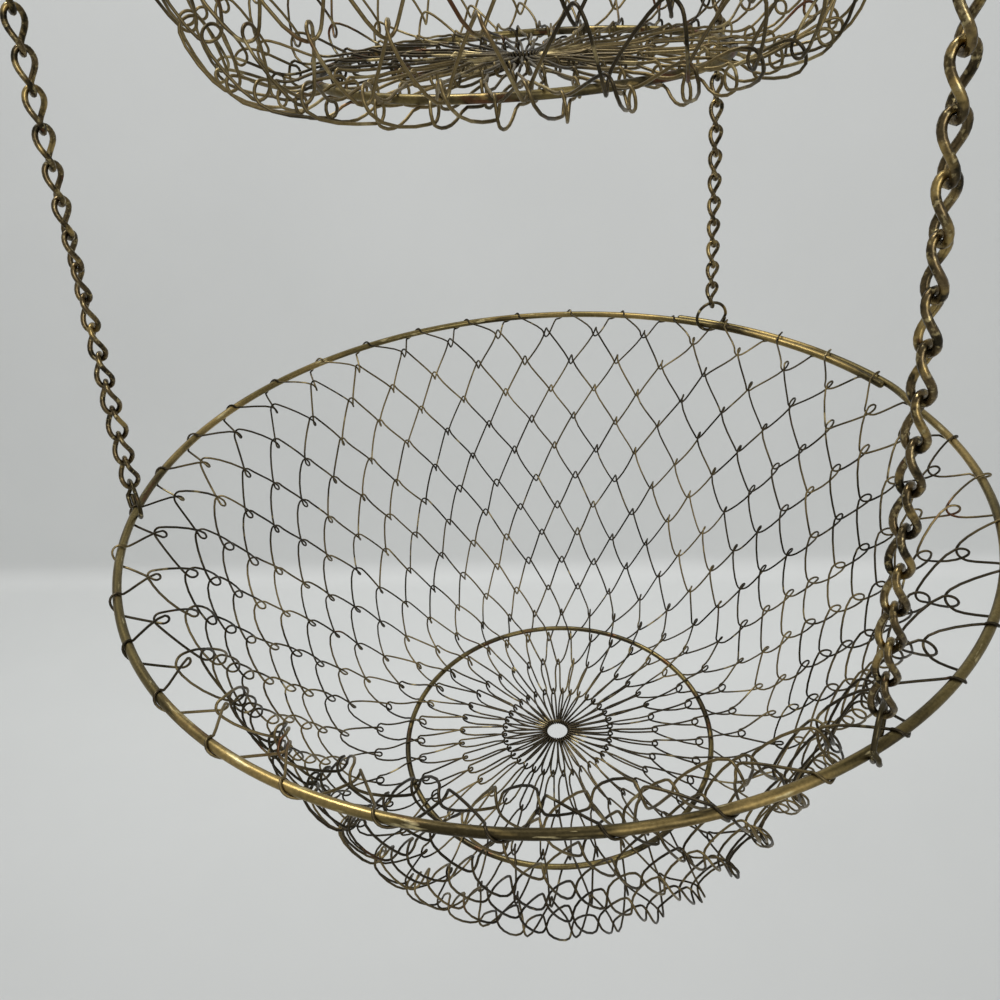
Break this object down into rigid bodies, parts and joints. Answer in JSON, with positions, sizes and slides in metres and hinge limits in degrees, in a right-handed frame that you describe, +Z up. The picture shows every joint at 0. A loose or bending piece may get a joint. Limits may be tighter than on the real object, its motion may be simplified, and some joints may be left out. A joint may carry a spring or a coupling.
{
  "type": "hanging tiered fruit basket",
  "caption": "Hanging set of round open wire baskets of rising size, one under another on chains that gather at a ring and a hook.",
  "frame": {"origin": "the inside top of the hook, where it bears on what the set hangs from", "axes": "+Z up, along the line that the set hangs on; +X towards the gap between the back and front chains, -X towards the left chain; the hook's wire runs along X at its seat"},
  "size_m": [0.3175, 0.3176, 0.9222],
  "materials": {
    "aged_brass": "aged, olive brown with bright worn edges",
    "chain_brass": "aged, dark with bright highlights",
    "dark_brass": "darkened",
    "bronze_wire": "dark, half matt"
  },
  "bodies": {
    "hook": {"hanging_hook": "aged_brass"},
    "ring": {"top_ring": "aged_brass"},
    "upper_tier": {"top_jump_ring_left": "dark_brass", "top_jump_ring_back": "dark_brass", "top_jump_ring_front": "dark_brass", "upper_chain_left": "chain_brass", "upper_chain_back": "chain_brass", "upper_chain_front": "chain_brass", "upper_jump_ring_left": "dark_brass", "upper_jump_ring_back": "dark_brass", "upper_jump_ring_front": "dark_brass", "upper_rim": "aged_brass", "upper_net": "bronze_wire", "middle_chain_left": "chain_brass", "middle_chain_back": "chain_brass", "middle_chain_front": "chain_brass"},
    "upper_base": {"upper_base_ring": "aged_brass", "upper_centre_ring": "bronze_wire"},
    "middle_tier": {"middle_jump_ring_left": "dark_brass", "middle_jump_ring_back": "dark_brass", "middle_jump_ring_front": "dark_brass", "middle_rim": "aged_brass", "middle_net": "bronze_wire", "lower_chain_left": "chain_brass", "lower_chain_back": "chain_brass", "lower_chain_front": "chain_brass"},
    "middle_base": {"middle_base_ring": "aged_brass", "middle_centre_ring": "bronze_wire"},
    "lower_tier": {"lower_jump_ring_left": "dark_brass", "lower_jump_ring_back": "dark_brass", "lower_jump_ring_front": "dark_brass", "lower_rim": "aged_brass", "lower_net": "bronze_wire"},
    "lower_base": {"lower_base_ring": "aged_brass", "lower_centre_ring": "bronze_wire"}
  },
  "joints": [
    {"name": "ring_swing", "type": "hinge", "parent": "hook", "child": "ring", "pos_m": [0, 0, -0.0498], "axis": [1, 0, 0], "range_deg": [-40, 40]},
    {"name": "tier_swing", "type": "hinge", "parent": "ring", "child": "upper_tier", "pos_m": [0, 0, -0.0732], "axis": [0, 1, 0], "range_deg": [-30, 30]},
    {"name": "upper_fold", "type": "slide", "parent": "upper_tier", "child": "upper_base", "axis": [0, 0, 1], "range_m": [0, 0.085], "deforming": ["upper_net"]},
    {"name": "middle_lift", "type": "slide", "parent": "upper_tier", "child": "middle_tier", "axis": [0, 0, 1], "range_m": [0, 0.145], "deforming": ["middle_chain_left", "middle_chain_back", "middle_chain_front"]},
    {"name": "middle_fold", "type": "slide", "parent": "middle_tier", "child": "middle_base", "axis": [0, 0, 1], "range_m": [0, 0.105], "deforming": ["middle_net"]},
    {"name": "lower_lift", "type": "slide", "parent": "middle_tier", "child": "lower_tier", "axis": [0, 0, 1], "range_m": [0, 0.145], "deforming": ["lower_chain_left", "lower_chain_back", "lower_chain_front"]},
    {"name": "lower_fold", "type": "slide", "parent": "lower_tier", "child": "lower_base", "axis": [0, 0, 1], "range_m": [0, 0.128], "deforming": ["lower_net"]}
  ]
}
